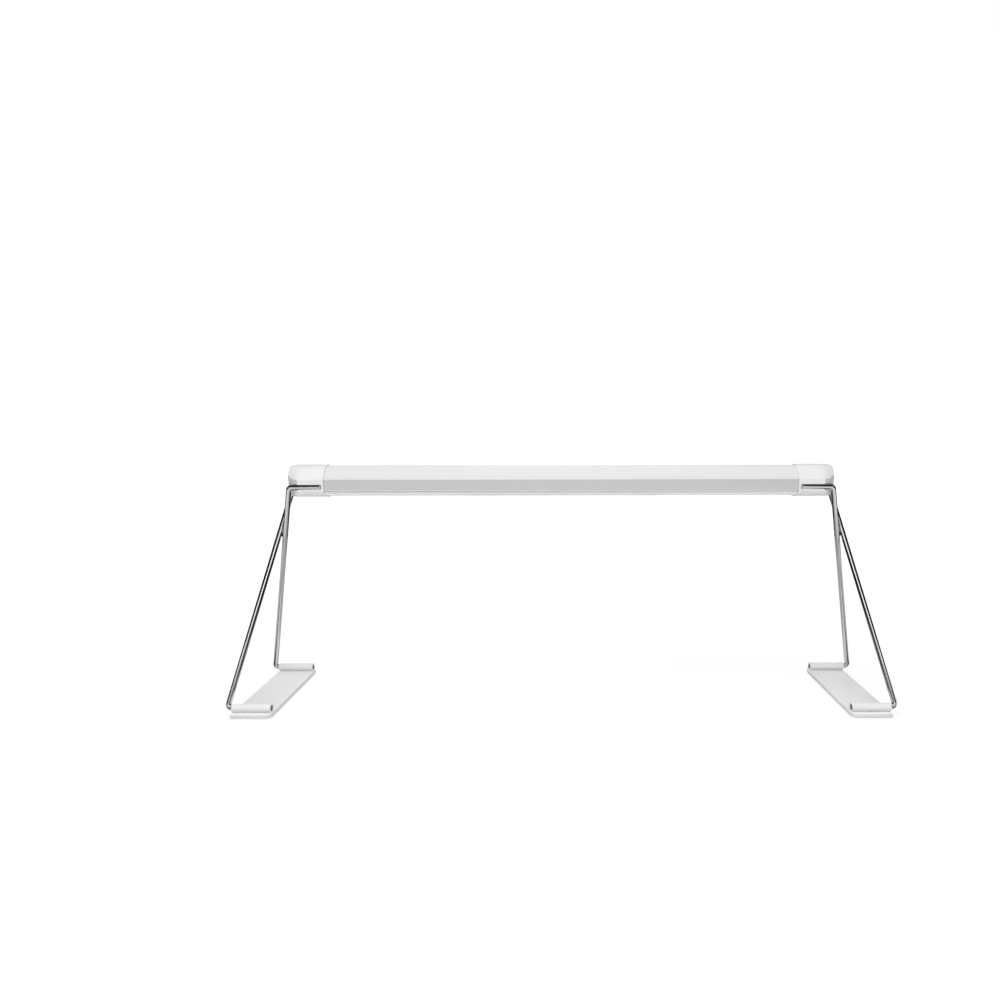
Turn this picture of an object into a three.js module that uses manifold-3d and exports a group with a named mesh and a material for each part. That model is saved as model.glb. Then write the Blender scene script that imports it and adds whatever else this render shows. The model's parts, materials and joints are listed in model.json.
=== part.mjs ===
// Grow light stand: a white LED bar between two moulded end caps, carried by two pairs of
// crossed, bent rods. Each rod lies in a snap channel of its end cap and ends in a tube of a
// flat foot. Millimetres, +Z up, +X along the bar, the front towards -Y, the origin on the
// floor under the middle of the bar.

import * as THREE from 'three';
import { mergeVertices } from 'three/addons/utils/BufferGeometryUtils.js';
import Module from 'manifold-3d';

const wasm = await Module();
wasm.setup();

// Driving dimensions of the stand
const lamp_length = 546;          // over both end caps
const ridge_height = 243;         // top of the bar above the floor
const leg_corner_reach = 0.8;     // mean place where the legs turn down, outside the cap's end
const leg_spread = 54.9;          // how far outside that place a leg turns into its foot tube
const tube_y = 59;                // foot tube axis from the middle
const tube_axis_height = 8.8;

// Fits
const fit_gap = 0.3;              // between pieces that seat on or in each other
const overrun = 1;                // how far a cut runs past the faces it opens

// Bar section
const bar_half_width = 18.6;
const crown_rise = 13.1;          // ridge to the crease above the flat side
const crown_shoulder_share = 0.56;
const side_height = 10.4;
const lip_height = 1.3;
const lip_inset = 0.9;
const bar_wall = 1.5;
const lens_drop = 5.6;            // depth of the lens below its own top edge

// Housing inside
const web_below_crease = 5.3;     // top of the heat sink web
const web_thickness = 1.6;
const rail_depth = 1;             // rail that the lens snaps over
const rail_height = 0.9;
const slot_rib_depth = 1.6;       // ribs that hold the control board
const slot_rib_height = 1;
const slot_rib_below_crease = 0.4;
const lead_slot_length = 10;
const lead_slot_width = 12;

// Lens
const lens_edge_inset = 1.2;      // lens edge inside the housing's side
const lens_wall = 1.3;
const lens_leg_wall = 1.2;
const lens_leg_height = 2.7;
const lens_bead_height = 0.8;
const lens_bead_depth = 1;

// LED strip
const board_half_width = 12;
const board_thickness = 1.6;
const board_end_margin = 6;
const chip_count = 36;
const chip_length = 3.5;
const chip_width = 2.8;
const chip_height = 0.8;

// End cap
const cap_length = 37.6;
const cap_overhang = 1;           // cap surface outside the bar's
const cap_wall = 2.2;
const cap_corner_length = 12.2;   // part of the cap, along the bar, that draws in to its end
const cap_end_half_width = 10.3;
const cap_corner_bow_share = 0.35;
const cap_end_drop = 1.7;         // ridge lower at the cap's end than over its mouth
const cap_crease_lift = 4;        // crease higher there
const cap_dome_power = 3;         // the higher, the nearer to the end the crown comes down
const cap_lower_radius = 5;       // front view, lower outer corner
const cap_mouth_depth = 1.5;
const channel_end_wall = 0.8;
const channel_wall = 1.5;
const channel_below_ridge = 20.65;
const channel_axis_inset = 1.7;   // channel axis inside the cap's flat side
const notch_gap = 0.6;
const notch_corner_radius = 3;

// Legs
const rod_diameter = 5.2;
const bend_radius = 4;            // on the centre line
const pivot_gap = 0.8;            // between the two rods where they cross
const rod_end_gap = 0.5;          // rod end to the blind end of its channel
const rod_foot_depth = 28;        // how far a rod reaches into its foot tube
const pin_diameter = 2;
const spacer_diameter = 4.4;

// Feet
const foot_width = 39.6;
const foot_corner_gap = 5.3;      // from the plate's outer edge to where the legs turn
const foot_lip = 7.5;             // plate outside the tube axis
const plate_bottom_height = 0.4;
const plate_thickness = 4.5;
const plate_edge_radius = 0.5;
const plate_corner_radius = 6;    // inner corners, plan view
const tube_outer_diameter = 8.2;
const tube_setback = 1.4;         // tube end inside the plate's inner edge
const saddle_half_width = 1.9;
const pad_length = 32;
const pad_width = 17;
const pad_thickness = 1.1;
const pad_corner_radius = 3;
const pad_inset = 11;             // pad middle from the plate's front or rear edge

// Supply socket, in the right cap's end wall
const socket_below_ridge = 13;
const socket_body_diameter = 7.8;
const socket_body_length = 13;
const socket_flange_diameter = 11;
const socket_flange_thickness = 1.4;
const socket_bore_diameter = 5.7;
const socket_bore_depth = 9;
const socket_pin_diameter = 2;
const socket_pin_setback = 1;
const socket_tab_length = 3.5;
const socket_tab_width = 1.8;
const socket_tab_thickness = 0.5;
const socket_tab_spacing = 4.4;
const nut_across_corners = 12.4;
const nut_thickness = 2.4;

// Control board and what it carries
const control_margin = 13;        // from the board's end to the mouth of the cap
const control_length = 72;
const control_thickness = 1.2;
const capacitor_diameter = 8;
const capacitor_height = 7;
const choke_diameter = 9;
const choke_height = 5;
const driver_length = 6.2;
const driver_width = 5;
const driver_height = 1.6;
const terminal_length = 6;
const terminal_width = 9;
const terminal_height = 6.5;
const terminal_margin = 2;
const capacitor_place_shares = [0.78, 0.36];    // along the board, and from its middle to its edge
const choke_place_shares = [0.53, -0.36];
const driver_place_shares = [0.31, 0.24];
const lead_diameter = 1.5;
const lead_sag = 1.6;
const lead_rise = 3.5;            // lead centre above the board's top face
const lead_tension_share = 0.3;

// Facets
const round_sides = 24;
const rod_sides = 16;
const lead_sides = 8;
const bend_steps = 7;
const curve_steps = 10;
const corner_steps = 6;
const cap_corner_steps = 8;
const edge_steps = 2;
const nut_sides = 6;
const lead_steps = 14;

// Places worked out from the dimensions
const rod_radius = rod_diameter / 2;
const channel_radius = rod_radius + fit_gap;
const crease_height = ridge_height - crown_rise;
const side_bottom_height = crease_height - side_height;
const lip_bottom_height = side_bottom_height - lip_height;
const lens_top_height = lip_bottom_height - fit_gap;
const lens_bottom_height = lens_top_height - lens_drop;
const web_top_height = crease_height - web_below_crease;
const web_bottom_height = web_top_height - web_thickness;
const board_top_height = web_bottom_height - fit_gap;
const board_bottom_height = board_top_height - board_thickness;

const cap_end_x = lamp_length / 2;
const cap_mouth_x = cap_end_x - cap_length;
const cap_shoulder_x = cap_mouth_x + cap_mouth_depth;
const bar_end_x = cap_shoulder_x - fit_gap;
const cap_half_width = bar_half_width + cap_overhang;
const cap_bottom_height = lens_bottom_height - cap_overhang;
const channel_height = ridge_height - channel_below_ridge;
const channel_y = cap_half_width - channel_axis_inset;
const channel_start_x = cap_shoulder_x + channel_end_wall;
const cap_corner_x = cap_end_x - cap_corner_length;

const top_corner_x = cap_end_x + leg_corner_reach;
const foot_corner_x = top_corner_x + leg_spread;
const foot_outer_x = foot_corner_x - foot_corner_gap;
const foot_inner_x = foot_outer_x - foot_width;
const control_start_x = cap_mouth_x - control_margin - control_length;

// The legs cross at Y = 0. Their top corners stand apart in X so that the rods pass each other
// there with the pivot gap between them.
const leg_drop = channel_height - tube_axis_height;
const leg_reach_y = channel_y + tube_y;
const crossing_share = channel_y / leg_reach_y;
const splay = Math.atan2(foot_corner_x - top_corner_x, leg_drop);
const crossing_spacing = (rod_diameter + pivot_gap) / Math.cos(splay);
const top_spacing = crossing_spacing / (1 - crossing_share);
const inner_top_x = top_corner_x - top_spacing / 2;
const outer_top_x = top_corner_x + top_spacing / 2;

// Surfaces and finishes
function finish(color, roughness, metalness) {
  return new THREE.MeshStandardMaterial({ color, roughness, metalness });
}

const white_paint = finish(0xe9eaea, 0.42, 0.1);
const white_plastic = finish(0xeeefef, 0.3, 0);
const opal_plastic = finish(0xe4e6e8, 0.5, 0);
const chrome = finish(0xb9bcc0, 0.12, 1);
const grey_paint = finish(0xe0e1e2, 0.45, 0.1);
const black_plastic = finish(0x141516, 0.5, 0);
const grey_rubber = finish(0xb8babc, 0.85, 0);
const board_white = finish(0xf0f1f0, 0.6, 0);
const board_green = finish(0x1f6a45, 0.5, 0);
const nickel = finish(0xc4c2bb, 0.3, 1);
const dark_blue = finish(0x23305a, 0.4, 0);
const ferrite = finish(0x3a3b3d, 0.7, 0);
const red_insulation = finish(0xb32622, 0.5, 0);
const black_insulation = finish(0x1b1c1e, 0.5, 0);

// Solids and shapes

function solidOf(geometry) {
  const bare = geometry.clone();
  bare.deleteAttribute('normal');
  bare.deleteAttribute('uv');
  const merged = mergeVertices(bare);
  return new wasm.Manifold(new wasm.Mesh({
    numProp: 3,
    vertProperties: new Float32Array(merged.attributes.position.array),
    triVerts: new Uint32Array(merged.index.array),
  }));
}

function geometryOf(solid) {
  const mesh = solid.getMesh();
  const geometry = new THREE.BufferGeometry();
  geometry.setAttribute('position', new THREE.BufferAttribute(new Float32Array(mesh.vertProperties), 3));
  geometry.setIndex(new THREE.BufferAttribute(new Uint32Array(mesh.triVerts), 1));
  geometry.computeVertexNormals();
  return geometry;
}

function mirroredX(geometry) {
  const copy = geometry.clone().applyMatrix4(new THREE.Matrix4().makeScale(-1, 1, 1));
  const corners = copy.index.array;
  for (let i = 0; i < corners.length; i += 3) {
    const first = corners[i];
    corners[i] = corners[i + 1];
    corners[i + 1] = first;
  }
  copy.computeVertexNormals();
  return copy;
}

function polygon(points) {
  return new THREE.Shape(points.map(([x, y]) => new THREE.Vector2(x, y)));
}

function rectangle(x0, x1, y0, y1) {
  return polygon([[x0, y0], [x1, y0], [x1, y1], [x0, y1]]);
}

function roundedRectangle(x0, x1, y0, y1, radius) {
  const shape = new THREE.Shape();
  shape.absarc(x1 - radius, y1 - radius, radius, 0, Math.PI / 2);
  shape.absarc(x0 + radius, y1 - radius, radius, Math.PI / 2, Math.PI);
  shape.absarc(x0 + radius, y0 + radius, radius, Math.PI, Math.PI * 1.5);
  shape.absarc(x1 - radius, y0 + radius, radius, Math.PI * 1.5, Math.PI * 2);
  return shape;
}

// A section drawn in (y, z) and run along X
function alongX(shape, x0, x1) {
  const geometry = new THREE.ExtrudeGeometry(shape, {
    depth: x1 - x0, bevelEnabled: false, curveSegments: curve_steps,
  });
  const axes = new THREE.Matrix4().makeBasis(
    new THREE.Vector3(0, 1, 0), new THREE.Vector3(0, 0, 1), new THREE.Vector3(1, 0, 0));
  return solidOf(geometry.applyMatrix4(axes).translate(x0, 0, 0));
}

// A solid through outlines drawn in (y, z) with equal numbers of points, each at its own x
function throughSections(sections) {
  const outlines = sections.map(({ shape }) => shape.getPoints(curve_steps).slice(0, -1));
  const count = outlines[0].length;
  const last = (sections.length - 1) * count;
  const positions = outlines.flatMap((outline, i) => outline.flatMap((p) => [sections[i].x, p.x, p.y]));
  const corners = [];
  for (let i = 0; i < last; i += count) {
    for (let k = 0; k < count; k += 1) {
      const here = i + k;
      const next = i + (k + 1) % count;
      corners.push(here, next, here + count, next, next + count, here + count);
    }
  }
  for (const [a, b, c] of THREE.ShapeUtils.triangulateShape(outlines[0], [])) {
    corners.push(a, c, b, last + a, last + b, last + c);
  }
  const geometry = new THREE.BufferGeometry();
  geometry.setAttribute('position', new THREE.Float32BufferAttribute(positions, 3));
  geometry.setIndex(corners);
  return solidOf(geometry);
}

// An outline drawn in (x, z) and run along Y, from -depth to +depth
function alongY(shape, depth) {
  const geometry = new THREE.ExtrudeGeometry(shape, {
    depth: 2 * depth, bevelEnabled: false, curveSegments: corner_steps,
  });
  const axes = new THREE.Matrix4().makeBasis(
    new THREE.Vector3(1, 0, 0), new THREE.Vector3(0, 0, 1), new THREE.Vector3(0, -1, 0));
  return solidOf(geometry.applyMatrix4(axes).translate(0, depth, 0));
}

// An outline drawn in (x, y) and run along Z, with its edges rounded by edge_radius
function alongZ(shape, z0, z1, edge_radius = 0) {
  const geometry = new THREE.ExtrudeGeometry(shape, {
    depth: z1 - z0 - 2 * edge_radius, curveSegments: corner_steps,
    bevelEnabled: edge_radius > 0, bevelThickness: edge_radius, bevelSize: edge_radius,
    bevelOffset: -edge_radius, bevelSegments: edge_steps,
  });
  return solidOf(geometry.translate(0, 0, z0 + edge_radius));
}

function box(x0, x1, y0, y1, z0, z1) {
  return alongZ(rectangle(x0, x1, y0, y1), z0, z1);
}

// A round bar between two points
function roundBar(from, to, radius, sides = round_sides) {
  const axis = to.clone().sub(from);
  const geometry = new THREE.CylinderGeometry(radius, radius, axis.length(), sides);
  const turn = new THREE.Quaternion()
    .setFromUnitVectors(new THREE.Vector3(0, 1, 0), axis.clone().normalize());
  const middle = from.clone().add(to).multiplyScalar(0.5);
  return solidOf(geometry.applyQuaternion(turn).translate(middle.x, middle.y, middle.z));
}

function barAlongX(x0, x1, y, z, radius, sides = round_sides) {
  return roundBar(new THREE.Vector3(x0, y, z), new THREE.Vector3(x1, y, z), radius, sides);
}

// Bar section: the outline of the whole bar, crown, flat sides and belly, grown outwards. An end
// cap's sections are narrower and lower towards its end, and their crease is higher.
function barOutline(grow, drawn_in = 0, lowered = 0, lifted = 0) {
  const half = bar_half_width + grow - drawn_in;
  const top = ridge_height + grow - lowered;
  const crease = crease_height + lifted;
  const shoulder = half * crown_shoulder_share;
  const belly = side_bottom_height - lens_bottom_height + grow;
  const shape = new THREE.Shape();
  shape.moveTo(half, side_bottom_height);
  shape.lineTo(half, crease);
  shape.quadraticCurveTo(shoulder, top, 0, top);
  shape.quadraticCurveTo(-shoulder, top, -half, crease);
  shape.lineTo(-half, side_bottom_height);
  shape.absellipse(0, side_bottom_height, half, belly, Math.PI, Math.PI * 2, false, 0);
  return shape;
}

// Housing: an aluminium extrusion with a closed upper chamber and an open lower channel
function housing() {
  const inner = bar_half_width - bar_wall;
  const rail = inner - rail_depth;
  const rail_top = lip_bottom_height + rail_height;
  const lip_y = bar_half_width - lip_inset;
  const shoulder = bar_half_width * crown_shoulder_share;
  const outline = new THREE.Shape();
  outline.moveTo(lip_y, lip_bottom_height);
  outline.lineTo(bar_half_width, side_bottom_height);
  outline.lineTo(bar_half_width, crease_height);
  outline.quadraticCurveTo(shoulder, ridge_height, 0, ridge_height);
  outline.quadraticCurveTo(-shoulder, ridge_height, -bar_half_width, crease_height);
  outline.lineTo(-bar_half_width, side_bottom_height);
  outline.lineTo(-lip_y, lip_bottom_height);
  outline.lineTo(-rail, lip_bottom_height);
  outline.lineTo(-rail, rail_top);
  outline.lineTo(-inner, rail_top);
  outline.lineTo(-inner, web_bottom_height);
  outline.lineTo(inner, web_bottom_height);
  outline.lineTo(inner, rail_top);
  outline.lineTo(rail, rail_top);
  outline.lineTo(rail, lip_bottom_height);

  const rib = inner - slot_rib_depth;
  const upper_rib_top = crease_height - slot_rib_below_crease;
  const upper_rib_bottom = upper_rib_top - slot_rib_height;
  const lower_rib_top = controlTop() - control_thickness - fit_gap;
  const lower_rib_bottom = lower_rib_top - slot_rib_height;
  const inner_top = ridge_height - bar_wall;
  const inner_shoulder = inner * crown_shoulder_share;
  const chamber = new THREE.Path();
  chamber.moveTo(inner, web_top_height);
  for (const [y, z] of [
    [inner, lower_rib_bottom], [rib, lower_rib_bottom], [rib, lower_rib_top], [inner, lower_rib_top],
    [inner, upper_rib_bottom], [rib, upper_rib_bottom], [rib, upper_rib_top], [inner, upper_rib_top]]) {
    chamber.lineTo(y, z);
  }
  chamber.quadraticCurveTo(inner_shoulder, inner_top, 0, inner_top);
  chamber.quadraticCurveTo(-inner_shoulder, inner_top, -inner, upper_rib_top);
  for (const [y, z] of [
    [-rib, upper_rib_top], [-rib, upper_rib_bottom], [-inner, upper_rib_bottom], [-inner, lower_rib_top],
    [-rib, lower_rib_top], [-rib, lower_rib_bottom], [-inner, lower_rib_bottom], [-inner, web_top_height]]) {
    chamber.lineTo(y, z);
  }
  outline.holes.push(chamber);

  const lead_slot_end = control_start_x - terminal_margin;
  const lead_slot = box(
    lead_slot_end - lead_slot_length, lead_slot_end, -lead_slot_width / 2, lead_slot_width / 2,
    web_bottom_height - overrun, web_top_height + overrun);
  return geometryOf(alongX(outline, -bar_end_x, bar_end_x).subtract(lead_slot));
}

// Top face of the control board, which slides into the slot under the upper ribs
function controlTop() {
  return crease_height - slot_rib_below_crease - slot_rib_height - fit_gap;
}

// Lens: an opal belly with two legs whose beads snap over the housing's rails
function lens() {
  const edge = bar_half_width - lens_edge_inset;
  const leg_outer = bar_half_width - bar_wall - rail_depth - fit_gap;
  const leg_inner = leg_outer - lens_leg_wall;
  const bead_outer = leg_outer + lens_bead_depth;
  const bead_bottom = lip_bottom_height + rail_height + fit_gap;
  const bead_top = bead_bottom + lens_bead_height;
  const leg_top = lens_top_height + lens_leg_height;
  const inner_edge = edge - lens_wall;
  const inner_drop = lens_drop - lens_wall;
  const start = Math.acos(leg_inner / inner_edge);
  const shape = new THREE.Shape();
  shape.moveTo(-edge, lens_top_height);
  shape.absellipse(0, lens_top_height, edge, lens_drop, Math.PI, Math.PI * 2, false, 0);
  for (const [y, z] of [
    [leg_outer, lens_top_height], [leg_outer, bead_bottom], [bead_outer, bead_bottom],
    [leg_outer, bead_top], [leg_outer, leg_top], [leg_inner, leg_top]]) {
    shape.lineTo(y, z);
  }
  shape.absellipse(0, lens_top_height, inner_edge, inner_drop, -start, start - Math.PI, true, 0);
  for (const [y, z] of [
    [-leg_inner, leg_top], [-leg_outer, leg_top], [-leg_outer, bead_top], [-bead_outer, bead_bottom],
    [-leg_outer, bead_bottom], [-leg_outer, lens_top_height]]) {
    shape.lineTo(y, z);
  }
  return geometryOf(alongX(shape, -bar_end_x, bar_end_x));
}

// LED strip: the board under the web with its chips soldered on in one row
function ledStrip() {
  const end = bar_end_x - board_end_margin;
  const pitch = 2 * end / chip_count;
  const chip_face = board_bottom_height - chip_height;
  let strip = box(-end, end, -board_half_width, board_half_width, board_bottom_height, board_top_height);
  for (let i = 0; i < chip_count; i += 1) {
    const x = -end + (i + 0.5) * pitch;
    strip = strip.add(box(
      x - chip_length / 2, x + chip_length / 2, -chip_width / 2, chip_width / 2, chip_face,
      board_bottom_height + board_thickness / 2));
  }
  return geometryOf(strip);
}

// The end cap's form from its mouth to end_x: it draws in towards the end in plan, and the crown
// comes down with it
function capForm(grow, end_x) {
  const sections = [{ x: cap_mouth_x, shape: barOutline(grow) }];
  for (let i = 0; i <= cap_corner_steps; i += 1) {
    const share = i / cap_corner_steps;
    const draw = (cap_half_width - cap_end_half_width) * share
      * (1 - cap_corner_bow_share + cap_corner_bow_share * share);
    const dome = share ** cap_dome_power;
    sections.push({
      x: cap_corner_x + share * (end_x - cap_corner_x),
      shape: barOutline(grow, draw, cap_end_drop * dome, cap_crease_lift * dome),
    });
  }
  return throughSections(sections);
}

// End cap: a domed shell whose mouth takes the bar. Two snap channels along its sides hold the
// rods, and notches under them let the rods turn down.
function endCap(with_socket) {
  const outside = cap_end_x + overrun;
  const front = new THREE.Shape();
  front.moveTo(cap_mouth_x, ridge_height + cap_overhang);
  front.lineTo(cap_mouth_x, cap_bottom_height);
  front.absarc(cap_end_x - cap_lower_radius, cap_bottom_height + cap_lower_radius, cap_lower_radius,
    -Math.PI / 2, 0);
  front.lineTo(cap_end_x, ridge_height + cap_overhang);

  const above = ridge_height + cap_overhang + overrun;
  const below = cap_bottom_height - overrun;
  let cap = capForm(cap_overhang, cap_end_x).intersect(alongY(front, cap_half_width + overrun));

  const mouth = alongX(barOutline(fit_gap), cap_mouth_x - overrun, cap_shoulder_x);
  cap = cap.subtract(mouth);

  const inside = cap_overhang - cap_wall;
  const end_cavity_x = Math.min(notchStart() - cap_wall, cap_corner_x);
  const end_cavity_y = notchInnerY() - cap_wall;
  const floor = side_bottom_height;
  const hollow = alongX(barOutline(inside), cap_shoulder_x - overrun, end_cavity_x);
  const end_hollow = capForm(inside, cap_end_x - cap_wall)
    .intersect(box(cap_shoulder_x, cap_end_x, -end_cavity_y, end_cavity_y, floor, above));
  let cavity = hollow.add(end_hollow);
  if (with_socket) {
    cavity = cavity.add(barAlongX(
      cap_shoulder_x, cap_end_x - cap_wall, 0, socketHeight(), nut_across_corners / 2 + fit_gap));
  }
  for (const y of [-channel_y, channel_y]) {
    cavity = cavity.subtract(
      barAlongX(cap_shoulder_x, outside, y, channel_height, channel_radius + channel_wall));
  }
  cap = cap.subtract(cavity);

  for (const way of [-1, 1]) {
    const y = way * channel_y;
    cap = cap.subtract(barAlongX(channel_start_x, outside, y, channel_height, channel_radius));
    const notch_y = way * notchInnerY();
    const outer_y = way * (cap_half_width + overrun + notch_corner_radius);
    const notch = roundedRectangle(
      notchStart(), outside + notch_corner_radius, Math.min(notch_y, outer_y), Math.max(notch_y, outer_y),
      notch_corner_radius);
    cap = cap.subtract(alongZ(notch, below, channel_height + channel_radius));
  }

  if (with_socket) {
    cap = cap.subtract(barAlongX(
      cap_end_x - cap_wall - overrun, outside, 0, socketHeight(), socket_body_diameter / 2 + fit_gap));
  }
  return geometryOf(cap);
}

// The notch starts where the inner rod's bend does, and is as deep as the rod leans inwards
// over the height of the cap.
function notchStart() {
  const leg = legDirection(inner_top_x, -1);
  const turn = Math.acos(leg.x);
  return inner_top_x - bend_radius * Math.tan(turn / 2) - fit_gap;
}

function notchInnerY() {
  const leg = legDirection(inner_top_x, -1);
  const lean = Math.abs(leg.y / leg.z) * (channel_height - cap_bottom_height);
  return channel_y - lean - rod_radius / Math.abs(leg.z) - notch_gap;
}

// Legs

// Unit vector down a leg from its top corner. way is -1 for the rod that starts in the front
// channel and ends in the rear tube, and 1 for the other.
function legDirection(top_x, way) {
  return new THREE.Vector3(foot_corner_x - top_x, -way * leg_reach_y, -leg_drop).normalize();
}

// Centre line of a bent rod: straight arms, joined by arcs, that are each sampled where needed
class BentRodCurve extends THREE.Curve {
  constructor(corners, radius, steps) {
    super();
    this.stations = [corners[0]];
    for (let i = 1; i < corners.length - 1; i += 1) {
      const back = corners[i - 1].clone().sub(corners[i]).normalize();
      const ahead = corners[i + 1].clone().sub(corners[i]).normalize();
      const opening = back.angleTo(ahead);
      const middle = back.clone().add(ahead).normalize().multiplyScalar(radius / Math.sin(opening / 2));
      const centre = corners[i].clone().add(middle);
      const from = corners[i].clone().addScaledVector(back, radius / Math.tan(opening / 2)).sub(centre);
      const axis = back.clone().cross(ahead).normalize();
      const turn = Math.PI - opening;
      for (let k = 0; k <= steps; k += 1) {
        const arm = from.clone().applyAxisAngle(axis, -turn * k / steps);
        this.stations.push(centre.clone().add(arm));
      }
    }
    this.stations.push(corners[corners.length - 1]);
  }

  get steps() {
    return this.stations.length - 1;
  }

  getPoint(t, target = new THREE.Vector3()) {
    const along = Math.min(Math.max(t, 0), 1) * this.steps;
    const i = Math.min(Math.floor(along), this.steps - 1);
    return target.lerpVectors(this.stations[i], this.stations[i + 1], along - i);
  }

  getUtoTmapping(u) {
    return u;
  }
}

function tubeAlong(curve, radius, sides, steps) {
  const section = new THREE.Shape();
  section.absarc(0, 0, radius, 0, Math.PI * 2);
  return solidOf(new THREE.ExtrudeGeometry(section, {
    steps, extrudePath: curve, bevelEnabled: false, curveSegments: sides / 2,
  }));
}

function legCorners(top_x, way) {
  return [
    new THREE.Vector3(channel_start_x + rod_end_gap, way * channel_y, channel_height),
    new THREE.Vector3(top_x, way * channel_y, channel_height),
    new THREE.Vector3(foot_corner_x, -way * tube_y, tube_axis_height),
    new THREE.Vector3(foot_outer_x - rod_foot_depth, -way * tube_y, tube_axis_height),
  ];
}

// The pivot lies on the common normal of the two legs, where they pass each other
function pivotLine() {
  const inner_start = legCorners(inner_top_x, -1)[1];
  const outer_start = legCorners(outer_top_x, 1)[1];
  const inner = legDirection(inner_top_x, -1);
  const outer = legDirection(outer_top_x, 1);
  const normal = outer.clone().cross(inner).normalize();
  const between = outer_start.clone().sub(inner_start);
  if (normal.dot(between) < 0) {
    normal.negate();
  }
  const spread = 1 - inner.dot(outer) ** 2;
  const inner_length = (between.dot(inner) - between.dot(outer) * inner.dot(outer)) / spread;
  const outer_length = (between.dot(inner) * inner.dot(outer) - between.dot(outer)) / spread;
  return {
    inner: inner_start.addScaledVector(inner, inner_length),
    outer: outer_start.addScaledVector(outer, outer_length),
    normal,
  };
}

function bentRod(top_x, way) {
  const curve = new BentRodCurve(legCorners(top_x, way), bend_radius, bend_steps);
  const { inner, outer, normal } = pivotLine();
  const hole = roundBar(
    inner.clone().addScaledVector(normal, -rod_diameter), outer.clone().addScaledVector(normal, rod_diameter),
    pin_diameter / 2 + fit_gap, rod_sides);
  return geometryOf(tubeAlong(curve, rod_radius, rod_sides, curve.steps).subtract(hole));
}

// Pivot: a pin through both rods with a spacer between them that is hollowed to their round
function pivot() {
  const { inner, outer, normal } = pivotLine();
  const pin = roundBar(
    inner.clone().addScaledVector(normal, -rod_radius), outer.clone().addScaledVector(normal, rod_radius),
    pin_diameter / 2, rod_sides);
  let spacer = roundBar(inner, outer, spacer_diameter / 2);
  const reach = 2 * spacer_diameter;
  for (const [middle, top_x, way] of [[inner, inner_top_x, -1], [outer, outer_top_x, 1]]) {
    const along = legDirection(top_x, way).multiplyScalar(reach);
    spacer = spacer.subtract(
      roundBar(middle.clone().sub(along), middle.clone().add(along), rod_radius + fit_gap));
  }
  return geometryOf(pin.add(spacer));
}

// Foot: a flat plate with a tube on a saddle near its front and rear edges
function foot() {
  const edge_y = tube_y + foot_lip;
  const plate_top = plate_bottom_height + plate_thickness;
  const plan = new THREE.Shape();
  plan.moveTo(foot_outer_x, -edge_y);
  plan.lineTo(foot_outer_x, edge_y);
  plan.absarc(foot_inner_x + plate_corner_radius, edge_y - plate_corner_radius, plate_corner_radius,
    Math.PI / 2, Math.PI);
  plan.absarc(foot_inner_x + plate_corner_radius, plate_corner_radius - edge_y, plate_corner_radius,
    Math.PI, Math.PI * 1.5);
  let body = alongZ(plan, plate_bottom_height, plate_top, plate_edge_radius);
  const tube_inner_x = foot_inner_x + tube_setback;
  for (const y of [-tube_y, tube_y]) {
    const saddle = box(tube_inner_x, foot_outer_x - plate_edge_radius, y - saddle_half_width,
      y + saddle_half_width, plate_top - plate_edge_radius, tube_axis_height);
    body = body
      .add(saddle)
      .add(barAlongX(tube_inner_x, foot_outer_x, y, tube_axis_height, tube_outer_diameter / 2));
  }
  for (const y of [-tube_y, tube_y]) {
    body = body.subtract(
      barAlongX(tube_inner_x - overrun, foot_outer_x + overrun, y, tube_axis_height, channel_radius));
  }
  for (const way of [-1, 1]) {
    body = body.subtract(padSolid(way, fit_gap, plate_bottom_height - overrun, pad_thickness + fit_gap));
  }
  return geometryOf(body);
}

// Rubber pad near one edge of the plate, or with a gap round it the pocket that it sits in
function padSolid(way, gap, z0, z1) {
  const middle_x = (foot_inner_x + foot_outer_x) / 2;
  const middle_y = way * (tube_y + foot_lip - pad_inset);
  return alongZ(
    roundedRectangle(
      middle_x - pad_length / 2 - gap, middle_x + pad_length / 2 + gap,
      middle_y - pad_width / 2 - gap, middle_y + pad_width / 2 + gap, pad_corner_radius + gap),
    z0, z1);
}

// Supply socket, its nut, the control board and the leads

function socketHeight() {
  return ridge_height - socket_below_ridge;
}

function revolvedAlongX(profile, x, z, sides = round_sides) {
  const points = profile.map(([along, radius]) => new THREE.Vector2(radius, along));
  const geometry = new THREE.LatheGeometry(points, sides);
  return solidOf(geometry.rotateZ(-Math.PI / 2).translate(x, 0, z));
}

function socket() {
  const flange_face = fit_gap + socket_flange_thickness;
  const body_end = flange_face - socket_flange_thickness - socket_body_length;
  const bore = socket_bore_diameter / 2;
  const body = revolvedAlongX([
    [body_end, 0], [body_end, socket_body_diameter / 2], [fit_gap, socket_body_diameter / 2],
    [fit_gap, socket_flange_diameter / 2], [flange_face, socket_flange_diameter / 2],
    [flange_face, bore], [flange_face - socket_bore_depth, bore],
    [flange_face - socket_bore_depth, socket_pin_diameter / 2],
    [flange_face - socket_pin_setback, socket_pin_diameter / 2], [flange_face - socket_pin_setback, 0],
  ], cap_end_x, socketHeight());
  const back = cap_end_x + body_end;
  let whole = body;
  for (const way of [-1, 1]) {
    const y = way * socket_tab_spacing / 2;
    whole = whole.add(box(
      back - socket_tab_length, back + overrun, y - socket_tab_width / 2, y + socket_tab_width / 2,
      socketHeight() - socket_tab_thickness / 2, socketHeight() + socket_tab_thickness / 2));
  }
  return geometryOf(whole);
}

function socketNut() {
  const inner_face = cap_end_x - cap_wall - fit_gap;
  const nut = barAlongX(
    inner_face - nut_thickness, inner_face, 0, socketHeight(), nut_across_corners / 2, nut_sides);
  const hole = barAlongX(
    inner_face - nut_thickness - overrun, inner_face + overrun, 0, socketHeight(),
    socket_body_diameter / 2 + fit_gap);
  return geometryOf(nut.subtract(hole));
}

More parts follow.
